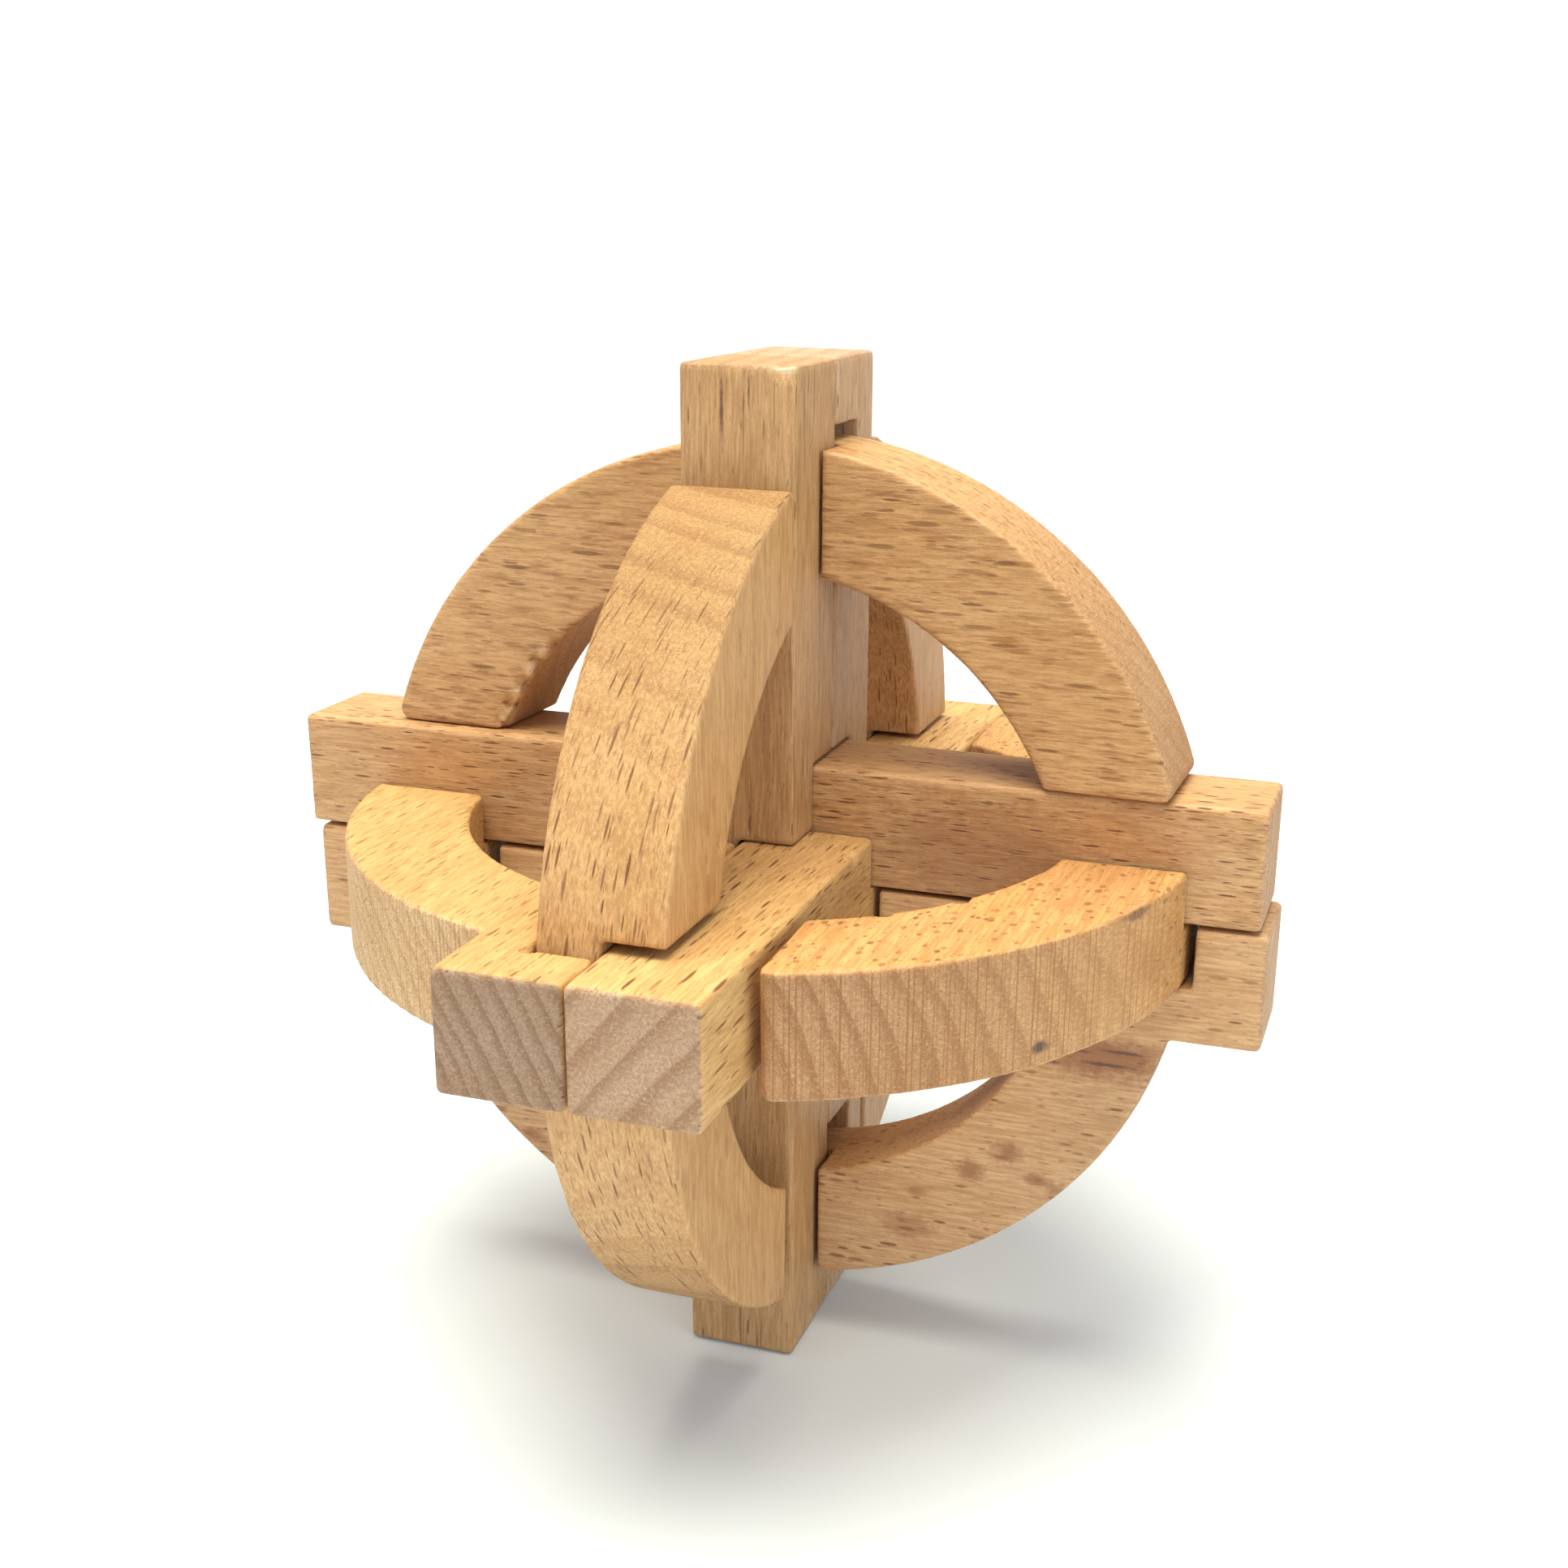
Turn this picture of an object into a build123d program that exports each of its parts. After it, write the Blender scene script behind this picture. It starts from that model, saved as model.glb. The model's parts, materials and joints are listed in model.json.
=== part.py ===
from build123d import *
import os

# Wooden ball burr puzzle: six square bars in three crossing pairs, wrapped by three split rings.
# X runs to the right, Y to the back, Z up. The puzzle stands on the lower ends of its two upright bars,
# and the origin is the centre of that footprint. The pieces are modelled about the puzzle's centre and
# lifted by half a bar when they are written.

# Driving dimensions, millimetres
BAR_LENGTH = 107.6
BAR_FLAT = 12.0            # bar across the faces that its pair shares
BAR_STACK = 12.5           # bar in the direction in which its pair is stacked
RING_OUTER = 45.8          # outer radius of every ring
RING_INNER = 33.1
RING_THICK = 12.5          # thickness of the four loose half rings
EDGE_ROUND = 0.5           # sanded edges of the bars
RING_ROUND = 0.35          # the sawn edges of the rings are crisper
FOOT_ROUND = 1.2           # the outer corner of a ring's end

# Play between pieces
PAIR_GAP = 0.1             # between the two bars of a pair
KEY_LIFT = 0.3             # extra room under the key bar
FIT = 0.3                  # round a bar or a ring in its notch
NOTCH_PLAY = 0.7           # beside the crossbars in the lower bar, and at the ends of ring notches
END_GAP = 0.5              # ring end to the bar that it stops at
KEY_SHIFT = -0.9           # how far the key has crept along X
HUB_DROP = 1.5             # the lower half ring's centre below the puzzle's centre
FACE_STEP = 0.5            # the lower half ring's front face behind its bar's front face

HALF_LENGTH = BAR_LENGTH / 2
HALF_FLAT = BAR_FLAT / 2
HALF_GAP = PAIR_GAP / 2
HALF_RING = RING_THICK / 2
NEAR = HALF_GAP                              # inner face of a bar, from the centre plane
FAR = HALF_GAP + BAR_STACK                   # outer face of a bar
KEY_BOTTOM = HALF_GAP + KEY_LIFT
KEY_TOP = KEY_BOTTOM + BAR_STACK
NOTCH_INNER = RING_INNER - 1.9               # a ring notch, from the centre along its bar
NOTCH_OUTER = RING_OUTER + 1.3
ROOT = FAR - 4.0                             # how deep an integral half ring runs into its bar
BEYOND = 2 * BAR_LENGTH                      # past every face of the puzzle

# Directions in which the half rings stand, and the planes that they lie in
RIGHT_RING = Plane((0, 0, 0), x_dir=(1, 0, 0), z_dir=(0, 0, 1))
LEFT_RING = Plane((0, 0, 0), x_dir=(-1, 0, 0), z_dir=(0, 0, 1))
FRONT_RING = Plane((0, 0, 0), x_dir=(0, -1, 0), z_dir=(1, 0, 0))
BACK_RING = Plane((0, 0, 0), x_dir=(0, 1, 0), z_dir=(1, 0, 0))
UPPER_RING = Plane((0, 0, 0), x_dir=(0, 0, 1), z_dir=(0, 1, 0))
LOWER_RING = Plane((0, 0, 0), x_dir=(0, 0, -1), z_dir=(0, 1, 0))


def block(x_span, y_span, z_span):
    """A box between two values along each axis."""
    spans = (x_span, y_span, z_span)
    sizes = [high - low for low, high in spans]
    middle = [(low + high) / 2 for low, high in spans]
    return Pos(*middle) * Box(*sizes)


def bar(x_span, y_span, z_span):
    """A plain bar with sanded edges."""
    blank = block(x_span, y_span, z_span)
    return fillet(blank.edges(), EDGE_ROUND)


def half_ring(end, thickness):
    """Half a ring in the XY plane, on the +X side, with flat ends at x = end."""
    ring = Cylinder(RING_OUTER, thickness) - Cylinder(RING_INNER, 2 * thickness)
    half = ring & block((end, RING_OUTER), (-RING_OUTER, RING_OUTER), (-thickness, thickness))
    across = half.edges().filter_by(Axis.Z).sort_by(Axis.Y)
    half = fillet([across[0], across[-1]], FOOT_ROUND)
    return fillet(half.edges(), RING_ROUND)


def key_channel():
    """The room that the key bar slides through, open at the top."""
    side = HALF_FLAT + FIT
    return block((-BEYOND, BEYOND), (-side, side), (KEY_BOTTOM - NEAR, KEY_TOP + FIT))


def right_bar_room():
    """The room for the right bar, as the upright bars leave it."""
    side = HALF_FLAT + FIT
    return block((NEAR - FIT, BEYOND), (-BEYOND, BEYOND), (-side, NEAR + HALF_FLAT))


def key_bar():
    """The plain bar: it slides out endways and frees the rest."""
    x_span = (KEY_SHIFT - HALF_LENGTH, KEY_SHIFT + HALF_LENGTH)
    return bar(x_span, (-HALF_FLAT, HALF_FLAT), (KEY_BOTTOM, KEY_TOP))


def right_bar():
    """Runs front to back under the key, which crosses it in a half-depth notch."""
    blank = bar((NEAR, FAR), (-HALF_LENGTH, HALF_LENGTH), (-HALF_FLAT, HALF_FLAT))
    return blank - key_channel()


def left_bar_with_ring():
    """Runs front to back, and carries the left half ring in one piece with it."""
    blank = bar((-FAR, -NEAR), (-HALF_LENGTH, HALF_LENGTH), (-HALF_FLAT, HALF_FLAT))
    piece = blank + LEFT_RING * half_ring(ROOT, BAR_FLAT)
    upright = HALF_FLAT + FIT
    piece -= block((-upright, 0), (-FAR - FIT, FAR + FIT), (-BEYOND, BEYOND))
    for side in (-1, 1):
        low, high = sorted((side * NOTCH_INNER, side * NOTCH_OUTER))
        piece -= block((-HALF_RING - FIT, 0), (low, high), (-BEYOND, BEYOND))
    key_side = HALF_FLAT + END_GAP
    piece -= block((-BEYOND, -NOTCH_INNER + NOTCH_PLAY), (-key_side, key_side), (NEAR, BEYOND))
    return piece - key_channel()


def front_bar():
    """Upright. Its ends are plain, so it lifts out endways once the right bar has gone."""
    blank = bar((-HALF_FLAT, HALF_FLAT), (-FAR, -NEAR), (-HALF_LENGTH, HALF_LENGTH))
    return blank - key_channel() - right_bar_room()


def back_bar():
    """Upright, with a half-depth notch near each end for the rings that lie left to right."""
    piece = bar((-HALF_FLAT, HALF_FLAT), (NEAR, FAR), (-HALF_LENGTH, HALF_LENGTH))
    lower_neck = HALF_FLAT + FIT
    piece -= block((-BEYOND, BEYOND), (-lower_neck, lower_neck), (-FAR - FIT, KEY_TOP + FIT))
    piece -= right_bar_room()
    for low, high in ((NOTCH_INNER, NOTCH_OUTER), (-NOTCH_OUTER - HUB_DROP, -NOTCH_INNER)):
        piece -= block((-BEYOND, BEYOND), (0, HALF_RING + 4 * FIT), (low, high))
    return piece


def lower_bar_with_ring():
    """Lies under the key, and carries the lower half ring in one piece with it."""
    piece = bar((-HALF_LENGTH, HALF_LENGTH), (-HALF_FLAT, HALF_FLAT), (-FAR, -NEAR))
    arc = LOWER_RING * half_ring(ROOT - HUB_DROP, BAR_FLAT - FACE_STEP)
    piece += Pos(0, FACE_STEP / 2, -HUB_DROP) * arc
    floor = HALF_FLAT + FIT
    crossbars = FAR + NOTCH_PLAY
    piece -= block((-crossbars, crossbars), (-BEYOND, BEYOND), (-floor, 0))
    upright = HALF_FLAT + FIT
    piece -= block((-upright, upright), (-BEYOND, NEAR), (-FAR - FIT, 0))
    for side in (-1, 1):
        low, high = sorted((side * NOTCH_INNER, side * (RING_OUTER + NOTCH_PLAY)))
        piece -= block((low, high), (-BEYOND, BEYOND), (-HALF_RING - FIT, 0))
    end = HALF_FLAT + END_GAP
    return piece - block((-end, end), (-BEYOND, NEAR + FIT), (-BEYOND, -FAR - FIT))


def right_half_ring():
    """Loose. Its lower half runs on through the lower bar's notch, under the key."""
    piece = RIGHT_RING * half_ring(FAR + 2 * END_GAP, RING_THICK)
    side = HALF_FLAT + FIT
    piece -= block((0, BEYOND), (-side, side), (-NEAR, BEYOND))
    return Rot(X=1.4) * piece


def upper_half_ring():
    """Loose. Its back half runs on through the back bar's top notch, behind the front bar."""
    piece = UPPER_RING * half_ring(KEY_TOP + NEAR, RING_THICK)
    end = HALF_FLAT + END_GAP
    piece -= block((-end, end), (-BEYOND, NEAR), (0, BEYOND))
    return Pos(0, 0.8, 0) * Rot(Z=-1.8) * piece


def front_half_ring():
    """Loose. Its left half runs on through the left bar's front notch, and it leans on the front bar."""
    piece = FRONT_RING * half_ring(FAR + END_GAP, RING_THICK)
    piece = Pos(0, -0.9, -1.5) * Rot(X=-1.4) * piece
    return piece - block((-NEAR, BEYOND), (-BEYOND, 0), (-HALF_FLAT - END_GAP, HALF_FLAT + 2 * END_GAP))


def back_half_ring():
    """Loose. Its left half runs on through the left bar's back notch."""
    piece = Pos(0, 1.0, 0) * BACK_RING * half_ring(FAR, RING_THICK)
    return piece - block((-NEAR, BEYOND), (0, BEYOND), (-HALF_FLAT - END_GAP, HALF_FLAT + END_GAP))


PIECES = {
    "key_bar": key_bar,
    "right_bar": right_bar,
    "left_bar_with_ring": left_bar_with_ring,
    "front_bar": front_bar,
    "back_bar": back_bar,
    "lower_bar_with_ring": lower_bar_with_ring,
    "right_half_ring": right_half_ring,
    "upper_half_ring": upper_half_ring,
    "front_half_ring": front_half_ring,
    "back_half_ring": back_half_ring,
}

os.makedirs("parts", exist_ok=True)
for name, make in PIECES.items():
    export_step(Pos(0, 0, HALF_LENGTH) * make(), f"parts/{name}.step")
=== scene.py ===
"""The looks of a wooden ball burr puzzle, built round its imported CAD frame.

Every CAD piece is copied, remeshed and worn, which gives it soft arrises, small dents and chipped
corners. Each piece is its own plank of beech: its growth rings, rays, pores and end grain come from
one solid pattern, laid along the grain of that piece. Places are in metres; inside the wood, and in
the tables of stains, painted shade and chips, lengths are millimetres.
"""
import json
import math
from types import SimpleNamespace

import bpy
import numpy as np
from mathutils import Matrix, Vector


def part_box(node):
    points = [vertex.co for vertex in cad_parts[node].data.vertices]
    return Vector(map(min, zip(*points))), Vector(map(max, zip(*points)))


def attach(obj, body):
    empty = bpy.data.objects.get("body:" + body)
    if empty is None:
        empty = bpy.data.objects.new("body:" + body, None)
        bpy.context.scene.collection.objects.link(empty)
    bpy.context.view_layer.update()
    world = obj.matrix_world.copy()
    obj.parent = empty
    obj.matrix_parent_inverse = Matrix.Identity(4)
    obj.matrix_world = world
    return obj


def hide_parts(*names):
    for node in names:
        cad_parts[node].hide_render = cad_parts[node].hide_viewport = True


MM = 1000.0                                # millimetres in a metre
SEED = 11

VOXEL = 0.00034
KEPT_FACES = 0.3                           # share of the remeshed faces that the finished piece keeps

# Wear. Each point moves part of the way to where smoothing would take it.
WEAR_PASSES = 4       # smoothing passes that the wear is measured from
LEAST_WEAR = 0.10                          # the part of the way that every point moves
EXTRA_WEAR = 0.80                          # how much further the most worn points move
BROAD_WEAR = 0.006                         # size of the broad uneven patches
FINE_WEAR = 0.0017                         # size of the fine ones
INWARD_PASSES = 12                         # smoothing passes that show which way is into the wood
LUMP_WAVES = 14                            # waves that are added up into lumps
LUMP_REACH = 5.5                           # the sum of waves that counts as a full lump
CHIP_LUMP = 0.0009                         # size of the lumps inside a chip
CHIP_ROUND = 0.6                           # under 1, a chip has a flatter floor and a steeper edge

AXIS_X = Vector((1, 0, 0))
AXIS_Y = Vector((0, 1, 0))
AXIS_Z = Vector((0, 0, 1))

RIM = 45.8                                 # outer radius of the rings, millimetres

# Tones of the wood, as multiples of its plank's colour
PALE = (1.14, 1.24, 1.42)
DEEP = (0.62, 0.50, 0.42)
DARK = (0.30, 0.20, 0.18)

# Noise in the wood: its scale (two ways across the grain, then along it), detail and roughness
PATTERNS = {
    "fibres": ((3.2, 3.2, 0.22), 4, 0.65),
    "pores": ((9.0, 9.0, 1.1), 2, 0.6),
    "speckle": ((6.0, 6.0, 5.0), 3, 0.75),
    "streaks": ((1.5, 1.5, 0.19), 3, 0.6),
    "clouds": ((0.12, 0.12, 0.035), 2, 0.5),
    "hairlines": ((1.9, 1.9, 0.05), 1, 0.4),
}
PITH_DISTANCE = 80.0                       # typical distance from the pith: turns angles into lengths
SMALL_SHARE = 0.85                         # how much of the face has small rays
PLANK_STEP = 37.0                          # how far along the pattern each plank starts from the last
TIP = (3.5, 2.5)                           # distances from a bar's end over which end grain sets in
SAW_PITCH = 3.6                            # noise steps per millimetre round a rim, for saw marks
RING_WANDER = 2.2                          # how far a growth ring strays from a circle at most
YEAR_SPREAD = 1.4                          # how unevenly the years run, in years
RAGGED = 0.9                               # scale of the noise that makes the stains' edges ragged

# Colours of the stains. The rust colour also paints shade: on the key bar and on the right bar its
# spots are painted shade.
KNOT = (0.12, 0.060, 0.045)
RUST_AND_SHADE = (0.29, 0.110, 0.045)
TORN = (0.78, 0.560, 0.330)

# The looks that most planks share. Lengths are in millimetres.
COMMON = dict(
    axis=None,                     # the ring's axis, where the piece has a ring
    ring=3.0,                      # width of a growth ring
    rings=0.5,                     # how strongly the growth rings show on the end grain
    lean=0.02,                     # how far the grain leans towards the first axis across it
    dash=1.2,                      # half the length of a ray dash
    width=0.13,                    # half its width
    depth=0.26,                    # half its depth towards the pith
    fleck=1.0,                     # how much of it shows on a quarter-sawn face
    fade=0.7,                      # the slant across the grain from which it fades
    dashes=0.8,                    # how dark the dashes are
    share=0.8,                     # how much of the face has dashes
    streaks=0.7,                   # soft brown streaks
    lines=0.0,                     # long dark hairlines
    saw=0.3,                       # marks of the saw across the ring's rim
    colour=(0.60, 0.345, 0.150),
    end_tint=(0.92, 0.96, 1.12),   # what cutting squarely across the grain does to the colour
    rim_tint=(0.85, 0.84, 0.92),   # what cutting slantwise across it does
    stains_and_shade=(),                     # (place from the puzzle's centre, size, strength, colour): stains, and patches of painted shade
)

# One plank for each piece. The pith is its place across the grain, from the puzzle's centre.
WOODS = {
    "key_bar": dict(
        grain=AXIS_X, pith=(-85, 10), dash=1.1, dashes=1.0, share=1.0, streaks=1.3,
        colour=(0.585, 0.330, 0.145),
        # Both spots are painted shade: they darken the right part of the key's front, near the rings
        stains_and_shade=(((24, -6, 5), (15, 2, 8), 0.46, RUST_AND_SHADE), ((43, -6, 9), (8, 2, 5), 0.20, RUST_AND_SHADE)),
    ),
    "lower_bar_with_ring": dict(
        grain=AXIS_X, axis=AXIS_Y, pith=(-60, 75), ring=3.6, rings=0.3, dash=1.1, share=0.6,
        rim_tint=(0.80, 0.84, 1.05), colour=(0.60, 0.35, 0.165),
        stains_and_shade=(((24, -6, -31), (2.0, 3, 1.5), 0.75, RUST_AND_SHADE),
                ((28, -6, -28.2), (2.2, 3, 1.5), 0.75, RUST_AND_SHADE),
                ((31.5, -6, -30.8), (2.0, 3, 0.9), 0.70, RUST_AND_SHADE),
                ((33.7, -6, -31.8), (1.4, 3, 0.8), 0.65, RUST_AND_SHADE),
                ((18, -6, -34.5), (1.5, 3, 0.9), 0.60, RUST_AND_SHADE),
                ((17, -6, -39), (4, 3, 2.0), 0.50, RUST_AND_SHADE),
                ((37, -6, -15.5), (10, 4, 3.0), 0.80, RUST_AND_SHADE),
                ((38, -6, -16.3), (3.4, 3, 0.28), 0.90, KNOT),
                ((34, -6, -15.1), (3.0, 3, 0.24), 0.90, KNOT),
                ((40, -6, -14.7), (2.8, 3, 0.26), 0.90, KNOT),
                ((31.5, -6, -16.8), (2.4, 3, 0.24), 0.80, KNOT),
                ((-32.5, -6, -35), (2.2, 3, 1.2), 0.70, RUST_AND_SHADE),
                ((-28.5, -6, -35.5), (2, 3, 1.3), 0.70, RUST_AND_SHADE)),
    ),
    "upper_half_ring": dict(
        grain=AXIS_X, axis=AXIS_Y, pith=(-70, -50), ring=2.6, rings=0.4, dash=2.0, width=0.19,
        dashes=0.7, share=0.6, streaks=1.8, colour=(0.585, 0.332, 0.139),
        stains_and_shade=(((-30, -4.5, 14.3), (1.8, 3, 1.6), 0.80, TORN),
                ((-28.8, -4.6, 16.8), (1.2, 2, 1.8), 0.80, TORN),
                ((-27, -4.7, 19.5), (1.1, 2, 1.8), 0.70, TORN),
                ((-25.2, -4.7, 21.8), (1.2, 2, 1.2), 0.60, TORN)),
    ),
    "left_bar_with_ring": dict(
        grain=AXIS_Y, axis=AXIS_Z, pith=(-70, -29), ring=1.8, rings=0.7, dash=1.3, width=0.11,
        dashes=0.95, share=0.9, streaks=0.4, saw=0.6, colour=(0.60, 0.350, 0.130),
        end_tint=(0.62, 0.67, 1.10), rim_tint=(1.18, 1.33, 1.82),
    ),
    "right_bar": dict(
        grain=AXIS_Y, pith=(75, -58), ring=3.3, rings=0.7, dash=1.7, dashes=1.0,
        streaks=0.6, colour=(0.63, 0.368, 0.138), end_tint=(0.77, 0.83, 1.30),
        # This spot is painted shade on the right bar next to the key bar
        stains_and_shade=(((8, -15, 4), (11, 10, 8), 0.25, RUST_AND_SHADE),),
    ),
    "right_half_ring": dict(
        grain=AXIS_Y, axis=AXIS_Z, pith=(-55, -27), ring=2.2, rings=1.0, dash=0.5, width=0.19,
        depth=0.42, fade=0.15, dashes=0.75, share=1.0, streaks=0.4, saw=0.9,
        colour=(0.585, 0.305, 0.106), rim_tint=(0.86, 0.90, 1.20),
        stains_and_shade=(((35.8, -28.5, -4.9), (1.3, 1.4, 0.8), 1.0, KNOT),
                ((42.4, -17.5, 5.2), (2, 3.2, 0.7), 0.8, KNOT),
                ((43.5, -14, -1), (3, 7, 3), 0.2, RUST_AND_SHADE),
                ((38, -14, 6.5), (8, 12, 2), 0.25, RUST_AND_SHADE),
                ((25.5, -20.5, 5.8), (1.6, 1.4, 0.8), 0.6, TORN)),
    ),
    "front_bar": dict(
        grain=AXIS_Z, pith=(-80, -12), ring=3.2, rings=0.4, width=0.10, depth=0.14,
        dashes=0.7, share=0.5, lines=0.45, colour=(0.53, 0.300, 0.126),
        stains_and_shade=(((4.8, -12.4, 53.5), (1.8, 1.2, 1.0), 0.8, TORN),
                ((-1.5, -12.6, 49.3), (0.24, 2, 3.2), 0.9, KNOT),
                ((1.3, -12.6, 51.5), (0.16, 2, 2.0), 0.8, KNOT)),
    ),
    "back_bar": dict(
        grain=AXIS_Z, pith=(85, 15), rings=0.4, dash=1.0, dashes=0.6, share=0.6, streaks=0.5,
        lines=0.15, colour=(0.58, 0.36, 0.19),
    ),
    "front_half_ring": dict(
        grain=AXIS_Z, axis=AXIS_X, pith=(20, 75), ring=3.8, rings=0.7, dash=1.6, width=0.095,
        depth=2.0, fleck=0.25, dashes=0.9, share=1.0, streaks=0.6, saw=0.04,
        colour=(0.60, 0.340, 0.137), rim_tint=(0.70, 0.69, 0.64),
    ),
    "back_half_ring": dict(
        grain=AXIS_Z, axis=AXIS_X, pith=(8, -60), depth=2.0, fleck=0.25, width=0.10,
        colour=(0.58, 0.35, 0.17), rim_tint=(0.85, 0.87, 1.0),
    ),
}

# Chips: the piece, the place from the puzzle's centre in millimetres, the chip's radius and its depth.
CHIPS = (
    ("front_bar", (4.6, -12.6, 53.8), 1.5, 0.5),
    ("front_bar", (6.0, -12.6, 52.8), 0.9, 0.3),
    ("front_bar", (1.5, -12.6, 53.8), 0.8, 0.25),
    ("right_bar", (12.6, -12.0, 6.0), 1.2, 0.35),
    ("left_bar_with_ring", (-12.6, -53.8, 6.0), 1.0, 0.3),
    ("left_bar_with_ring", (-6.3, -47.0, 6.0), 1.0, 0.5),
    ("key_bar", (52.8, -6.0, 12.9), 1.0, 0.3),
    ("front_half_ring", (5.8, -33.0, 13.0), 1.1, 0.45),
    ("front_half_ring", (5.6, -17.5, 29.0), 1.2, 0.4),
    ("lower_bar_with_ring", (30.0, -5.6, -17.5), 1.3, 0.4),
    ("upper_half_ring", (-30.2, -4.5, 13.6), 1.6, 0.7),
    ("upper_half_ring", (-29.2, -4.6, 15.8), 1.4, 0.7),
    ("upper_half_ring", (-27.8, -4.6, 18.2), 1.3, 0.6),
    ("upper_half_ring", (-26.0, -4.7, 20.7), 1.3, 0.6),
    ("upper_half_ring", (-24.0, -4.7, 23.0), 1.0, 0.4),
    ("right_half_ring", (25.8, -20.8, 5.8), 1.2, 0.4),
    ("right_half_ring", (20.0, -26.6, 5.6), 1.0, 0.3),
)

# The stage
FLOOR_COLOUR = (0.77, 0.825, 0.885, 1.0)
FLOOR_SIDES = 64
FLOOR_RADIUS = 0.55
FLOOR_FADE = (0.22, 0.5)                   # distances over which it fades into the surround
FLOOR_DROP = 0.00005                       # how far it lies under the feet
SURROUND_LIGHT = 0.52                      # strength of the white surround as a light
SURROUND_EXTRA = 0.55                      # what it has on top of that as a background
LIGHT_SIZE = 0.6
LIGHTS = (                                 # name, place, power and colour
    ("overhead", (-0.04, -0.06, 0.75), 10.5, (1.0, 0.96, 0.78)),
    ("right_fill", (0.8, -0.5, 0.35), 2.8, (0.74, 0.92, 1.0)),
    ("left_fill", (-0.8, -0.5, 0.3), 0.7, (0.90, 1.0, 1.0)),
)

# The camera, a little above the puzzle, in front of it and to its right
CAMERA_PLACE = Vector((0.06907, -0.19043, 0.06863))     # from the puzzle's centre
CAMERA_TURN = (17.257, 18.419, 0.976)                   # yaw, pitch and roll, degrees
LENS = 44.75
SENSOR = 36.0
SHIFT = (-0.0525, 0.0427)
NEAREST = 0.01                                          # nearest distance that it shows


# ---------------------------------------------------------------- node helpers

class Nodes:
    """A short way to write a node tree."""

    def __init__(self, tree):
        self.tree = tree

    def add(self, kind, inputs=(), **settings):
        node = self.tree.nodes.new(kind)
        for key, value in settings.items():
            setattr(node, key, value)
        for key, value in dict(inputs).items():
            self.join(value, node.inputs[key])
        return node

    def join(self, value, socket):
        if isinstance(value, bpy.types.NodeSocket):
            self.tree.links.new(value, socket)
        else:
            socket.default_value = value

    def math(self, operation, *values):
        node = self.add("ShaderNodeMath", operation=operation)
        for socket, value in zip(node.inputs, values):
            self.join(value, socket)
        return node.outputs[0]

    def vector(self, operation, *values):
        node = self.add("ShaderNodeVectorMath", operation=operation)
        for socket, value in zip(node.inputs, values):
            self.join(value, socket)
        return node.outputs[1] if operation in ("DOT_PRODUCT", "LENGTH") else node.outputs[0]

    def combine(self, x, y, z):
        return self.add("ShaderNodeCombineXYZ", {"X": x, "Y": y, "Z": z}).outputs[0]

    def scaled(self, vector, x, y, z):
        return self.vector("MULTIPLY", vector, (x, y, z))

    def noise(self, vector, scale=1.0, detail=2.0, roughness=0.5):
        settings = {"Vector": vector, "Scale": scale, "Detail": detail, "Roughness": roughness}
        return self.add("ShaderNodeTexNoise", settings).outputs["Fac"]

    def span(self, value, low, high, to_low=0.0, to_high=1.0):
        """The value eased from one range to another, and held at its ends."""
        settings = {"Value": value, "From Min": low, "From Max": high,
                    "To Min": to_low, "To Max": to_high}
        return self.add("ShaderNodeMapRange", settings, interpolation_type="SMOOTHSTEP").outputs[0]

    def mix(self, factor, a, b, blend="MIX"):
        node = self.add("ShaderNodeMix", data_type="RGBA", blend_type=blend)
        for socket, value in zip((node.inputs[0], node.inputs[6], node.inputs[7]), (factor, a, b)):
            self.join(value, socket)
        return node.outputs[2]

    def show(self, shader):
        """Makes a shader the material's surface."""
        self.add("ShaderNodeOutputMaterial", {"Surface": shader.outputs[0]})


def blank_material(name):
    """A material with no nodes yet, and a short way to write them."""
    material = bpy.data.materials.new(name)
    material.use_nodes = True
    material.node_tree.nodes.clear()
    return material, Nodes(material.node_tree)


# ---------------------------------------------------------------- wood

def centred_place(n):
    """A point's place from the puzzle's centre, in millimetres."""
    point = n.add("ShaderNodeTexCoord").outputs["Object"]
    point = n.vector("SUBTRACT", point, tuple(CENTRE))
    return n.scaled(point, MM, MM, MM)


def across_axes(along):
    """The two axes square to one axis."""
    return [axis for axis in (AXIS_X, AXIS_Y, AXIS_Z) if axis != along]


def plank_place(n, point, wood, offset):
    """The same place in the plank: across the grain from the pith, then along the grain."""
    first, second = across_axes(wood["grain"])
    x = n.math("SUBTRACT", n.vector("DOT_PRODUCT", point, tuple(first)), wood["pith"][0])
    y = n.math("SUBTRACT", n.vector("DOT_PRODUCT", point, tuple(second)), wood["pith"][1])
    z = n.math("ADD", n.vector("DOT_PRODUCT", point, tuple(wood["grain"])), offset)
    lean = n.math("MULTIPLY", z, wood["lean"])
    return n.combine(n.math("SUBTRACT", x, lean), y, z)


def quarter_sawn(n, place, radius, normal, grain):
    """1 where the face is cut towards the pith, and 0 where it is cut round it."""
    first, second = across_axes(grain)
    split = n.add("ShaderNodeSeparateXYZ", {"Vector": place})
    across = n.math("MULTIPLY", n.vector("DOT_PRODUCT", normal, tuple(first)), split.outputs["Y"])
    back = n.math("MULTIPLY", n.vector("DOT_PRODUCT", normal, tuple(second)), split.outputs["X"])
    return n.math("ABSOLUTE", n.math("DIVIDE", n.math("SUBTRACT", across, back), radius))


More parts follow.
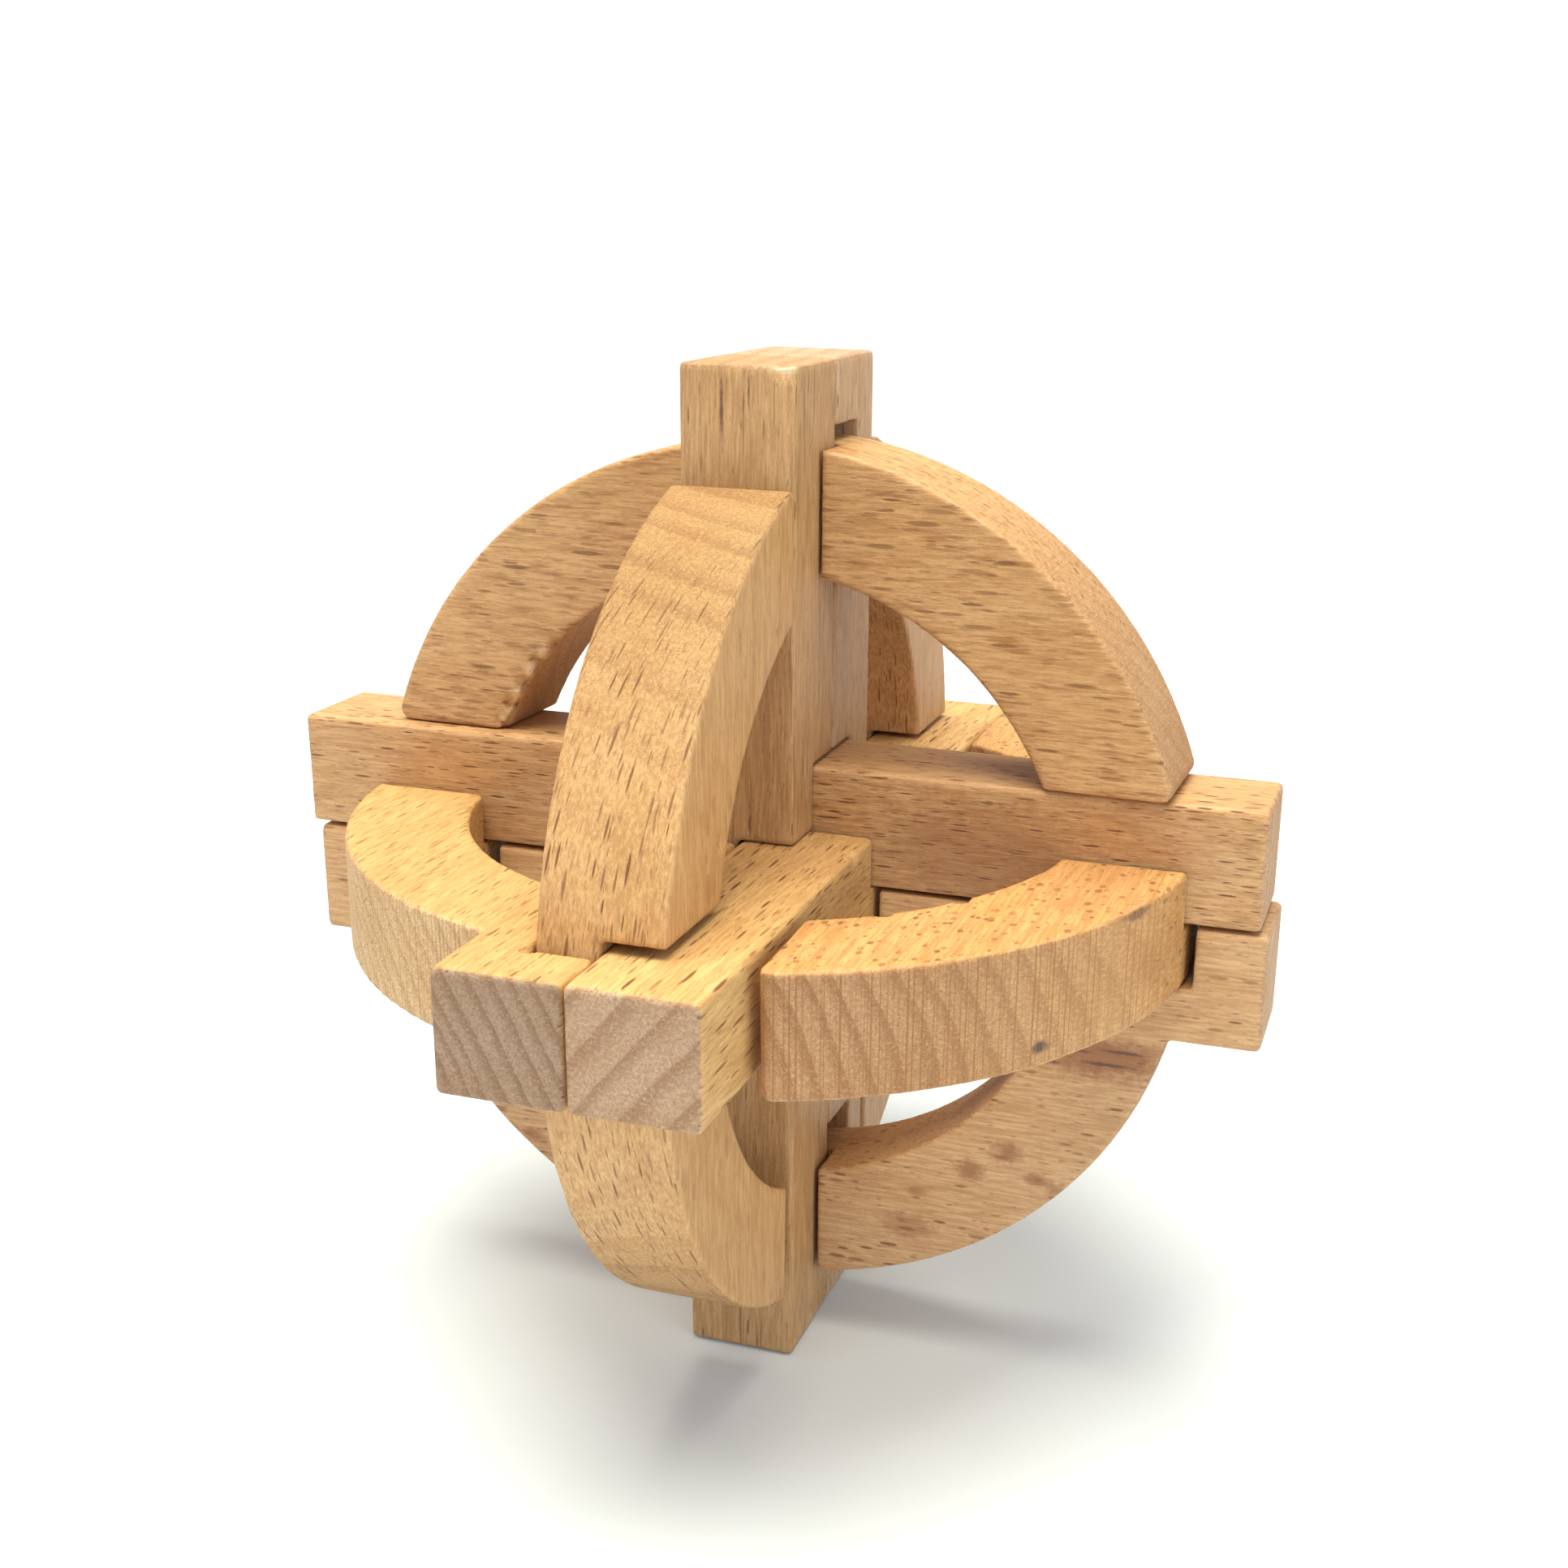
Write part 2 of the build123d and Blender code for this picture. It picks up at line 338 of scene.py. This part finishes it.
def growth_rings(n, place, radius, wood):
    """0 in the early wood of each year, rising to 1 at its end."""
    wander = n.noise(n.scaled(place, 0.06, 0.06, 0.010), detail=2)
    across = n.math("ADD", radius, n.math("MULTIPLY", wander, RING_WANDER))
    uneven = n.noise(n.combine(n.math("MULTIPLY", radius, 0.17), 0.0, 0.0), detail=1)
    years = n.math("DIVIDE", across, wood["ring"])
    years = n.math("ADD", years, n.math("MULTIPLY", uneven, YEAR_SPREAD))
    phase = n.math("FRACT", years)
    return n.math("MULTIPLY", n.span(phase, 0.3, 0.88), n.span(phase, 0.9, 1.0, 1.0, 0.0))


def rays(n, polar, cell, half, share):
    """Spindles of ray cells: dashes on a plain-sawn face, flecks on a quarter-sawn one."""
    point = n.vector("DIVIDE", polar, cell)
    voronoi = n.add("ShaderNodeTexVoronoi", {"Vector": point, "Scale": 1.0, "Randomness": 1.0})
    away = n.vector("SUBTRACT", point, voronoi.outputs["Position"])
    away = n.vector("MULTIPLY", away, tuple(c / h for c, h in zip(cell, half)))
    pick = n.add("ShaderNodeSeparateColor", {"Color": voronoi.outputs["Color"]})
    size = n.math("MULTIPLY_ADD", pick.outputs[1], 0.8, 0.5)
    inside = n.span(n.math("DIVIDE", n.vector("LENGTH", away), size), 0.55, 1.0, 1.0, 0.0)
    kept = n.span(pick.outputs[0], 0.98 - share, 1.0 - share)
    strength = n.math("MULTIPLY_ADD", pick.outputs[2], 0.55, 0.5)
    return n.math("MULTIPLY", n.math("MULTIPLY", inside, kept), strength)


def spotted(n, colour, point, ragged, spot):
    """The colour with a soft spot on it, such as a pin knot, a mineral streak, torn fibres or a patch
    of painted shade.
    """
    place, size, strength, tone = spot
    away = n.vector("SUBTRACT", point, place)
    away = n.vector("DIVIDE", away, size)
    distance = n.math("ADD", n.vector("LENGTH", away), n.math("MULTIPLY_ADD", ragged, 1.2, -0.6))
    return n.mix(n.span(distance, 0.30, 1.15, strength, 0.0), colour, tone + (1.0,))


def saw_marks(n, point, normal, axis):
    """Fine lines across the outer rim of a ring."""
    first, second = across_axes(axis)
    x = n.vector("DOT_PRODUCT", point, tuple(first))
    y = n.vector("DOT_PRODUCT", point, tuple(second))
    radius = n.vector("LENGTH", n.combine(x, y, 0.0))
    round_it = n.math("MULTIPLY", n.math("ARCTAN2", y, x), RIM * SAW_PITCH)
    lines = n.noise(n.combine(round_it, 0.0, 0.0), detail=3)
    inset = n.math("ABSOLUTE", n.math("SUBTRACT", radius, RIM))
    flat = n.math("ABSOLUTE", n.vector("DOT_PRODUCT", normal, tuple(axis)))
    on_rim = n.math("MULTIPLY", n.span(inset, 1.2, 2.6, 1.0, 0.0), n.span(flat, 0.3, 0.7, 1.0, 0.0))
    return n.math("MULTIPLY", n.span(lines, 0.46, 0.66), on_rim)


def cut_faces(n, point, facing, grain):
    """Where a face cuts the grain: squarely at a bar's ends, and slantwise round a ring's rim."""
    along = n.math("ABSOLUTE", n.vector("DOT_PRODUCT", point, tuple(grain)))
    start, full = TIP
    tip = n.span(along, HALF_BAR - start, HALF_BAR - full)
    end = n.math("MULTIPLY", n.span(facing, 0.20, 0.60), tip)
    rim = n.math("MULTIPLY", n.span(facing, 0.30, 0.90), n.math("SUBTRACT", 1.0, tip))
    return end, rim


def shown_rays(n, polar, quarter, facing, wood):
    """The large and the small rays, as far as the cut of the face shows them."""
    width, depth, length = wood["width"], wood["depth"], wood["dash"]
    cell = (0.4 + 1.8 * depth, 0.6, 1.0 + 1.6 * length)
    dashes = rays(n, polar, cell, (depth, width, length), wood["share"])
    cell = (0.4 + 1.2 * depth, 0.4, 0.5 + 0.8 * length)
    small = rays(n, polar, cell, (0.7 * depth, 0.6 * width, 0.45 * length), SMALL_SHARE)
    fade = wood["fade"]
    seen = n.math("MULTIPLY", n.span(quarter, 0.5, 0.95, 1.0, wood["fleck"]),
                  n.span(facing, fade, fade + 0.26, 1.0, 0.10))
    return n.math("MULTIPLY", dashes, seen), n.math("MULTIPLY", small, seen)


def wood_pattern(n, wood, offset):
    """Everything that the wood shows at a point: its cut, rings, rays, saw marks and noise."""
    point = centred_place(n)
    place = plank_place(n, point, wood, offset)
    split = n.add("ShaderNodeSeparateXYZ", {"Vector": place})
    radius = n.vector("LENGTH", n.scaled(place, 1, 1, 0))
    angle = n.math("ARCTAN2", split.outputs["Y"], split.outputs["X"])
    polar = n.combine(radius, n.math("MULTIPLY", angle, PITH_DISTANCE), split.outputs["Z"])

    normal = n.add("ShaderNodeTexCoord").outputs["Normal"]
    facing = n.math("ABSOLUTE", n.vector("DOT_PRODUCT", normal, tuple(wood["grain"])))
    end, rim = cut_faces(n, point, facing, wood["grain"])
    quarter = quarter_sawn(n, place, radius, normal, wood["grain"])
    dashes, small = shown_rays(n, polar, quarter, facing, wood)
    marks = 0.0
    if wood["axis"]:
        marks = n.math("MULTIPLY", saw_marks(n, point, normal, wood["axis"]), wood["saw"])
    noise = {name: n.noise(n.scaled(place, *scale), detail=detail, roughness=roughness)
             for name, (scale, detail, roughness) in PATTERNS.items()}
    ragged = n.noise(n.scaled(point, RAGGED, RAGGED, RAGGED), detail=3, roughness=0.6)
    late = growth_rings(n, place, radius, wood)
    return SimpleNamespace(point=point, end=end, rim=rim, cut=n.math("MAXIMUM", end, rim), late=late,
                           dashes=dashes, small=small, marks=marks, ragged=ragged, **noise)


def toned(colour, tone=(1.0, 1.0, 1.0)):
    """A colour times a tone, with the alpha that a colour socket wants."""
    return tuple(part * gain for part, gain in zip(colour, tone)) + (1.0,)


def wood_colour(n, wood, seen):
    """The wood's colour, from its palest fibres to its dark rays, stains, painted shade and cut faces.
    """
    pale, deep, dark = (toned(wood["colour"], tone) for tone in (PALE, DEEP, DARK))
    side = n.math("SUBTRACT", 1.0, seen.cut)
    colour = n.mix(n.span(seen.clouds, 0.3, 0.7, 0.0, 0.8), toned(wood["colour"]), pale)
    banding = n.math("MULTIPLY_ADD", seen.end, 0.75, n.math("MULTIPLY_ADD", seen.rim, 0.45, 0.25))
    banding = n.math("MULTIPLY", banding, wood["rings"])
    colour = n.mix(n.math("MULTIPLY", seen.late, banding), colour, deep)
    streaks = n.span(seen.streaks, 0.50, 0.70, 0.0, 0.5 * wood["streaks"])
    colour = n.mix(n.math("MULTIPLY", streaks, side), colour, deep)
    colour = n.mix(n.span(seen.fibres, 0.34, 0.60, 0.46, 0.0), colour, deep)
    colour = n.mix(n.span(seen.pores, 0.30, 0.55, 0.36, 0.0), colour, deep)
    colour = n.mix(n.span(seen.fibres, 0.50, 0.70, 0.0, 0.66), colour, pale)
    lines = n.span(seen.hairlines, 0.65, 0.71, 0.0, wood["lines"])
    colour = n.mix(n.math("MULTIPLY", lines, side), colour, dark)
    colour = n.mix(n.math("MULTIPLY", seen.small, 0.6 * wood["dashes"]), colour, dark)
    colour = n.mix(n.math("MULTIPLY", seen.dashes, wood["dashes"]), colour, dark)
    # Soft spots: stains, and on the key bar and the right bar patches of painted shade
    for spot in wood["stains_and_shade"]:
        colour = spotted(n, colour, seen.point, seen.ragged, spot)
    colour = n.mix(seen.end, colour, toned(wood["end_tint"]), blend="MULTIPLY")
    colour = n.mix(seen.rim, colour, toned(wood["rim_tint"]), blend="MULTIPLY")
    colour = n.mix(seen.marks, colour, deep)
    grit = n.math("MULTIPLY", n.span(seen.speckle, 0.3, 0.7, -0.20, 0.20),
                  n.math("MULTIPLY_ADD", seen.cut, 0.75, 0.25))
    gain = n.math("ADD", 1.0, grit)
    return n.vector("MULTIPLY", colour, n.combine(gain, gain, gain))


def wood_height(n, seen):
    """The surface's relief: raised fibres, and sunken rays and saw marks."""
    height = n.math("MULTIPLY_ADD", seen.fibres, 0.45, n.math("MULTIPLY", seen.pores, 0.35))
    height = n.math("SUBTRACT", height, n.math("MULTIPLY", seen.dashes, 0.7))
    height = n.math("SUBTRACT", height, n.math("MULTIPLY", seen.small, 0.3))
    height = n.math("SUBTRACT", height, n.math("MULTIPLY", seen.marks, 0.5))
    grit = n.math("MULTIPLY", seen.speckle, n.math("MULTIPLY_ADD", seen.cut, 0.9, 0.2))
    return n.math("ADD", height, grit)


def wood_material(name, wood, offset):
    """Beech: warm tan, with rings, dark ray dashes, fine pores, and greyer end grain."""
    material, n = blank_material(name)
    seen = wood_pattern(n, wood, offset)
    rough = n.math("MULTIPLY_ADD", seen.fibres, 0.22, 0.42)
    rough = n.math("ADD", rough, n.math("MULTIPLY", seen.cut, 0.18))
    relief = {"Height": wood_height(n, seen), "Strength": 0.7, "Distance": 0.00012}
    bump = n.add("ShaderNodeBump", relief)
    n.show(n.add("ShaderNodeBsdfPrincipled", {
        "Base Color": wood_colour(n, wood, seen),
        "Roughness": rough,
        "IOR": 1.45,
        "Normal": bump.outputs[0],
    }))
    return material


# ---------------------------------------------------------------- worn pieces

def evaluated_mesh(obj):
    """The mesh that obj's modifiers make."""
    graph = bpy.context.evaluated_depsgraph_get()
    return bpy.data.meshes.new_from_object(obj.evaluated_get(graph))


def swap_mesh(obj, mesh):
    """Gives obj a new mesh and clears its modifiers."""
    old = obj.data
    obj.modifiers.clear()
    obj.data = mesh
    bpy.data.meshes.remove(old)


def smoothed(points, edges, passes):
    """The points after repeated averaging with their neighbours."""
    first, second = edges[:, 0], edges[:, 1]
    count = np.bincount(edges.ravel(), minlength=len(points)).reshape(-1, 1)
    result = points.copy()
    for _ in range(passes):
        total = np.empty_like(result)
        for axis in range(3):
            value = result[:, axis]
            from_first = np.bincount(second, weights=value[first], minlength=len(points))
            from_second = np.bincount(first, weights=value[second], minlength=len(points))
            total[:, axis] = from_first + from_second
        result = 0.5 * result + 0.5 * total / np.maximum(count, 1)
    return result


def lumpiness(points, size, seed):
    """Smooth noise from 0 to 1 over space, with lumps of about that size in metres."""
    rng = np.random.default_rng(seed)
    value = np.zeros(len(points))
    for _ in range(LUMP_WAVES):
        direction = rng.normal(size=3)
        direction /= np.linalg.norm(direction)
        pitch = size * rng.uniform(0.7, 2.2)
        value += np.sin(points @ direction * (2 * math.pi / pitch) + rng.uniform(0, 2 * math.pi))
    return 0.5 + 0.5 * np.clip(value / LUMP_REACH, -1, 1)


def mesh_arrays(mesh):
    """The mesh's points, and the pairs of points that its edges join."""
    points = np.empty(len(mesh.vertices) * 3, dtype=np.float32)
    mesh.vertices.foreach_get("co", points)
    edges = np.empty(len(mesh.edges) * 2, dtype=np.int32)
    mesh.edges.foreach_get("vertices", edges)
    return points.reshape(-1, 3).astype(float), edges.reshape(-1, 2)


def wear(mesh, node, seed):
    """Rounds every arris unevenly, and knocks the piece's chips out of it."""
    points, edges = mesh_arrays(mesh)
    soft = smoothed(points, edges, WEAR_PASSES)
    broad = lumpiness(points, BROAD_WEAR, seed)
    fine = lumpiness(points, FINE_WEAR, seed + 1)
    amount = LEAST_WEAR + EXTRA_WEAR * broad * fine
    worn = points + (soft - points) * amount[:, None]
    inward = smoothed(worn, edges, INWARD_PASSES) - worn
    inward /= np.maximum(np.linalg.norm(inward, axis=1), 1e-9)[:, None]
    for chipped, place, radius, depth in CHIPS:
        if chipped == node:
            away = np.linalg.norm(worn - (np.array(CENTRE) + np.array(place) / MM), axis=1) * MM
            bite = np.clip(1 - away / radius, 0, 1) ** CHIP_ROUND
            bite = bite * (0.5 + lumpiness(worn, CHIP_LUMP, seed + 2))
            worn += inward * (bite * depth / MM)[:, None]
    mesh.vertices.foreach_set("co", worn.astype(np.float32).ravel())
    mesh.update()


def worn_piece(node, seed):
    """A piece of wood in the place of a CAD node."""
    source = frame["nodes"][node]
    piece = bpy.data.objects.new(node + "_wood", source.data.copy())
    piece.data.transform(source.matrix_world)
    piece.data.materials.clear()
    bpy.context.scene.collection.objects.link(piece)
    remesh = piece.modifiers.new("remesh", "REMESH")
    remesh.mode = "VOXEL"
    remesh.voxel_size = VOXEL
    remesh.use_smooth_shade = True
    swap_mesh(piece, evaluated_mesh(piece))
    wear(piece.data, node, seed)
    thin = piece.modifiers.new("thin", "DECIMATE")
    thin.ratio = KEPT_FACES
    swap_mesh(piece, evaluated_mesh(piece))
    piece.data.shade_smooth()
    return piece


def build_pieces():
    """Every CAD node gets its worn, wooden piece."""
    bodies = frame["record"]["behaviour"]["bodies"]
    body_of = {node: body for body, nodes in bodies.items() for node in nodes}
    for number, (node, wood) in enumerate(WOODS.items()):
        piece = worn_piece(node, SEED + 10 * number)
        material = wood_material(node + "_beech", {**COMMON, **wood}, PLANK_STEP * number)
        piece.data.materials.append(material)
        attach(piece, body_of[node])
        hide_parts(node)


# ---------------------------------------------------------------- stage

def floor_material():
    """Plain and pale near the puzzle. Further out it fades into the white surround."""
    material, n = blank_material("pale_floor")
    distance = n.vector("LENGTH", n.add("ShaderNodeTexCoord").outputs["Object"])
    surface = n.add("ShaderNodeBsdfDiffuse", {"Color": FLOOR_COLOUR})
    nothing = n.add("ShaderNodeBsdfTransparent")
    gone = n.span(distance, *FLOOR_FADE)
    n.show(n.add("ShaderNodeMixShader", {0: gone, 1: surface.outputs[0], 2: nothing.outputs[0]}))
    return material


def build_floor():
    """A pale round floor, a hair under the feet."""
    corners = [2 * math.pi * side / FLOOR_SIDES for side in range(FLOOR_SIDES)]
    points = [(FLOOR_RADIUS * math.cos(angle), FLOOR_RADIUS * math.sin(angle), -FLOOR_DROP)
              for angle in corners]
    mesh = bpy.data.meshes.new("floor")
    mesh.from_pydata(points, [], [tuple(range(FLOOR_SIDES))])
    mesh.materials.append(floor_material())
    floor = bpy.data.objects.new("floor", mesh)
    bpy.context.scene.collection.objects.link(floor)


def area_light(name, place, power, colour):
    """A soft square light aimed at the puzzle's centre."""
    data = bpy.data.lights.new(name, "AREA")
    data.size = LIGHT_SIZE
    data.energy = power
    data.color = colour
    light = bpy.data.objects.new(name, data)
    light.location = place
    light.rotation_euler = (CENTRE - Vector(place)).to_track_quat("-Z", "Y").to_euler()
    bpy.context.scene.collection.objects.link(light)


def build_lights():
    """A warm softbox overhead, cool fills from both sides, and a white surround."""
    world = bpy.data.worlds.new("surround")
    world.use_nodes = True
    n = Nodes(world.node_tree)
    background = world.node_tree.nodes["Background"]
    background.inputs["Color"].default_value = (1.0, 1.0, 1.0, 1.0)
    seen = n.add("ShaderNodeLightPath").outputs["Is Camera Ray"]
    strength = n.math("MULTIPLY_ADD", seen, SURROUND_EXTRA, SURROUND_LIGHT)
    n.join(strength, background.inputs["Strength"])
    bpy.context.scene.world = world
    for light in LIGHTS:
        area_light(*light)


def build_camera():
    """The camera, turned by its yaw and pitch, then rolled about its line of sight."""
    data = bpy.data.cameras.new("camera")
    data.sensor_width = SENSOR
    data.lens = LENS
    data.shift_x, data.shift_y = SHIFT
    data.clip_start = NEAREST
    camera = bpy.data.objects.new("camera", data)
    yaw, pitch, roll = (math.radians(turn) for turn in CAMERA_TURN)
    reach = math.cos(pitch)
    forward = Vector((-math.sin(yaw) * reach, math.cos(yaw) * reach, -math.sin(pitch)))
    level = Vector((math.cos(yaw), math.sin(yaw), 0.0))
    upward = level.cross(forward)
    right = math.cos(roll) * level + math.sin(roll) * upward
    up = math.cos(roll) * upward - math.sin(roll) * level
    turn = Matrix((right, up, -forward)).transposed().to_4x4()
    camera.matrix_world = Matrix.Translation(CENTRE + CAMERA_PLACE) @ turn
    bpy.context.scene.collection.objects.link(camera)
    bpy.context.scene.camera = camera


# ---------------------------------------------------------------- build

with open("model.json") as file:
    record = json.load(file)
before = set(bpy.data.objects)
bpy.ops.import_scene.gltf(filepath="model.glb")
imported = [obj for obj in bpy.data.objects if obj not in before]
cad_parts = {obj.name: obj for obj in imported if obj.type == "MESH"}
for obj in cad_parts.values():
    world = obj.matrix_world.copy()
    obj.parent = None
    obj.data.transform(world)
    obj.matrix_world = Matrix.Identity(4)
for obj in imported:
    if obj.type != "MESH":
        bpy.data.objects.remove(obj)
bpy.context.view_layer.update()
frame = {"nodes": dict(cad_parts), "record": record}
foot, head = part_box("front_bar")
CENTRE = Vector((0.0, 0.0, (foot[2] + head[2]) / 2))    # the puzzle's centre
HALF_BAR = MM * (head[2] - foot[2]) / 2                 # half a bar's length, millimetres
build_pieces()
build_floor()
build_lights()
build_camera()
bpy.context.scene.view_settings.view_transform = "Standard"
